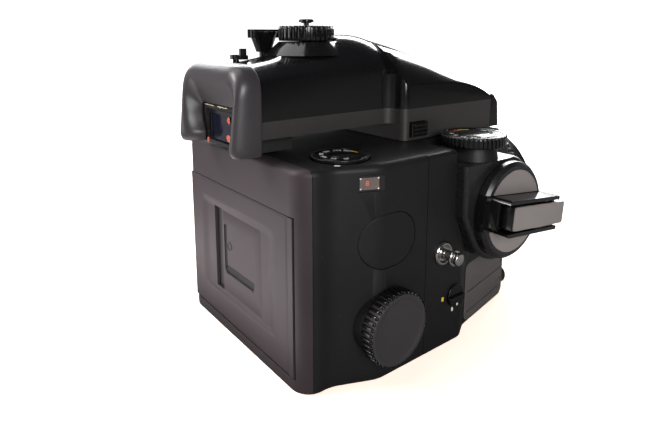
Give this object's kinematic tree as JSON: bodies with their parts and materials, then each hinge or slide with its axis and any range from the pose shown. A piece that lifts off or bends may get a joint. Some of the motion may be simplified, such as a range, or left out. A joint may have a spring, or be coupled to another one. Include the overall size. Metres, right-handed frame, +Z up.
{
  "type": "medium format film camera",
  "caption": "Medium format reflex camera with a prism finder, a lens and a detachable film magazine; cranks, dials, mirror, door and buttons move.",
  "frame": {"origin": "mouth of the tripod socket, in the plane of the flat base", "axes": "+Z up; +Y to the rear, out of the film magazine's door; -Y out of the lens; +X to the viewer's left"},
  "size_m": [0.131, 0.1682, 0.129],
  "materials": {
    "black_alloy": "satin black paint",
    "black_shell": "satin",
    "inner_black": "matte",
    "gloss_black": "gloss",
    "dark_grey": "satin",
    "handle_grey": "satin",
    "grip_rubber": "matte",
    "eyecup_rubber": "matte",
    "chrome": "polished",
    "steel": "brushed",
    "glass": "polished",
    "mirror": "polished",
    "curtain_cloth": "matte",
    "spool_plastic": "satin"
  },
  "bodies": {
    "camera_body": {"body_shell": "black_alloy", "base_plate": "black_alloy", "base_screws": "steel", "tripod_socket": "steel", "battery": "steel", "mirror_box": "inner_black", "focusing_screen": "glass", "shutter_frame": "inner_black", "shutter_rollers": "steel", "shutter_curtain": "curtain_cloth", "strap_lugs": "chrome", "grip_panels": "grip_rubber", "crank_housing": "black_shell", "dial_collar": "black_shell", "front_plate": "black_alloy", "lens_mount_ring": "chrome"},
    "battery_door": {"battery_door": "inner_black"},
    "mirror": {"mirror_carrier": "inner_black", "reflex_mirror": "mirror"},
    "crank": {"crank_hub": "dark_grey", "crank_arm": "gloss_black"},
    "crank_handle": {"crank_handle": "handle_grey"},
    "shutter_dial": {"shutter_dial": "gloss_black"},
    "multi_exposure_lever": {"multi_exposure_lever": "gloss_black"},
    "release_lock_collar": {"release_lock_collar": "inner_black"},
    "release_button": {"release_button": "steel"},
    "lens_release_button": {"lens_release_button": "steel"},
    "lens": {"lens_base": "black_alloy"},
    "aperture_ring": {"aperture_ring": "black_alloy"},
    "focus_ring": {"focus_ring": "grip_rubber"},
    "lens_front": {"lens_front_barrel": "black_alloy", "lens_elements": "glass", "iris_diaphragm": "steel"},
    "finder": {"finder_lower_shell": "gloss_black", "finder_upper_shell": "gloss_black", "finder_front_cap": "gloss_black", "pentaprism": "glass", "eyepiece_frame": "inner_black", "eyepiece_lens": "glass", "eyecup": "eyecup_rubber"},
    "finder_release_button": {"finder_release_button": "gloss_black"},
    "compensation_dial": {"compensation_dial": "gloss_black"},
    "dial_lock_button": {"dial_lock_button": "steel"},
    "meter_selector": {"meter_selector": "gloss_black"},
    "eyepiece_blind_lever": {"eyepiece_blind_lever": "gloss_black"},
    "magazine": {"magazine_front_shell": "black_shell", "magazine_rear_cover": "black_shell", "door_hinge_pin": "steel", "film_window": "glass", "thumb_pad": "grip_rubber", "film_insert": "inner_black", "pressure_plate": "steel"},
    "magazine_door": {"magazine_door": "black_shell", "memo_holder": "inner_black"},
    "door_latch": {"door_latch": "steel"},
    "wind_knob": {"wind_knob": "gloss_black", "take_up_spool": "spool_plastic"},
    "supply_spool": {"supply_spool": "spool_plastic"},
    "iso_dial": {"iso_dial": "gloss_black"},
    "dark_slide": {"dark_slide": "steel"}
  },
  "joints": [
    {"name": "mirror_swing", "type": "hinge", "parent": "camera_body", "child": "mirror", "pos_m": [0, 0.015, 0.0685], "axis": [-1, 0, 0], "range_deg": [0, 45], "stiffness_Nm_per_rad": 0.05, "springref_deg": -17.19},
    {"name": "battery_door_turn", "type": "hinge", "parent": "camera_body", "child": "battery_door", "pos_m": [0.0433, 0.013, 0.001], "axis": [0, 0, -1], "range_deg": [0, 60]},
    {"name": "crank_turn", "type": "hinge", "parent": "camera_body", "child": "crank", "pos_m": [-0.0615, -0.0149, 0.0532], "axis": [1, 0, 0], "continuous": true},
    {"name": "crank_handle_fold", "type": "hinge", "parent": "crank", "child": "crank_handle", "pos_m": [-0.0677, -0.03178, 0.05119], "axis": [0, -0.1184, 0.993], "range_deg": [0, 90]},
    {"name": "shutter_dial_turn", "type": "hinge", "parent": "camera_body", "child": "shutter_dial", "pos_m": [-0.0471, -0.0058, 0.0796], "axis": [0, 0, 1], "range_deg": [0, 300]},
    {"name": "multi_exposure_turn", "type": "hinge", "parent": "camera_body", "child": "multi_exposure_lever", "pos_m": [-0.052, 0.0084, 0.0206], "axis": [1, 0, 0], "range_deg": [0, 90]},
    {"name": "release_lock_turn", "type": "hinge", "parent": "camera_body", "child": "release_lock_collar", "pos_m": [-0.0325, -0.047, 0.0059], "axis": [0, 1, 0], "range_deg": [0, 60]},
    {"name": "release_press", "type": "slide", "parent": "camera_body", "child": "release_button", "axis": [0, 1, 0], "range_m": [0, 0.002], "stiffness_N_per_m": 300},
    {"name": "lens_release_press", "type": "slide", "parent": "camera_body", "child": "lens_release_button", "axis": [0, 1, 0], "range_m": [0, 0.0016], "stiffness_N_per_m": 300},
    {"name": "lens_dismount", "type": "slide", "parent": "camera_body", "child": "lens", "axis": [0, -1, 0], "range_m": [0, 0.05]},
    {"name": "aperture_turn", "type": "hinge", "parent": "lens", "child": "aperture_ring", "pos_m": [0, -0.054, 0.0417], "axis": [0, 1, 0], "range_deg": [0, 75]},
    {"name": "focus_turn", "type": "hinge", "parent": "lens", "child": "focus_ring", "pos_m": [0, -0.066, 0.0417], "axis": [0, 1, 0], "range_deg": [0, 200]},
    {"name": "focus_travel", "type": "slide", "parent": "lens", "child": "lens_front", "axis": [0, -1, 0], "range_m": [0, 0.009]},
    {"name": "finder_lift", "type": "slide", "parent": "camera_body", "child": "finder", "axis": [0, 0, 1], "range_m": [0, 0.03]},
    {"name": "finder_release_press", "type": "slide", "parent": "finder", "child": "finder_release_button", "axis": [1, 0, 0], "range_m": [0, 0.0015], "stiffness_N_per_m": 300},
    {"name": "compensation_turn", "type": "hinge", "parent": "finder", "child": "compensation_dial", "pos_m": [0, 0.0428, 0.1204], "axis": [0, 0, 1], "range_deg": [-80, 80]},
    {"name": "dial_lock_press", "type": "slide", "parent": "compensation_dial", "child": "dial_lock_button", "axis": [0, 0, -1], "range_m": [0, 0.001], "stiffness_N_per_m": 300},
    {"name": "meter_selector_turn", "type": "hinge", "parent": "finder", "child": "meter_selector", "pos_m": [0.0145, 0.0542, 0.116], "axis": [0, 0, 1], "range_deg": [0, 25]},
    {"name": "eyepiece_blind_turn", "type": "hinge", "parent": "finder", "child": "eyepiece_blind_lever", "pos_m": [0.009, 0.07, 0.1135], "axis": [0, 0, -1], "range_deg": [0, 90]},
    {"name": "magazine_pull", "type": "slide", "parent": "camera_body", "child": "magazine", "axis": [0, 1, 0], "range_m": [0, 0.06]},
    {"name": "magazine_door_swing", "type": "hinge", "parent": "magazine", "child": "magazine_door", "pos_m": [-0.0375, 0.0757, 0.0346], "axis": [0, 0, 1], "range_deg": [0, 100]},
    {"name": "door_latch_slide", "type": "slide", "parent": "magazine", "child": "door_latch", "axis": [0, 0, -1], "range_m": [0, 0.004]},
    {"name": "wind_knob_turn", "type": "hinge", "parent": "magazine", "child": "wind_knob", "pos_m": [-0.055, 0.0455, 0.0218], "axis": [-1, 0, 0], "continuous": true},
    {"name": "supply_turn", "type": "hinge", "parent": "magazine", "child": "supply_spool", "pos_m": [0, 0.0455, 0.0599], "axis": [-1, 0, 0], "continuous": true},
    {"name": "iso_turn", "type": "hinge", "parent": "magazine", "child": "iso_dial", "pos_m": [-0.0355, 0.054, 0.08], "axis": [0, 0, 1], "range_deg": [0, 300]},
    {"name": "dark_slide_pull", "type": "slide", "parent": "magazine", "child": "dark_slide", "axis": [1, 0, 0], "range_m": [0, 0.07]}
  ],
  "couplings": [
    {"joint": "focus_travel", "follows": "focus_turn", "m_per_rad": 0.0025783}
  ]
}
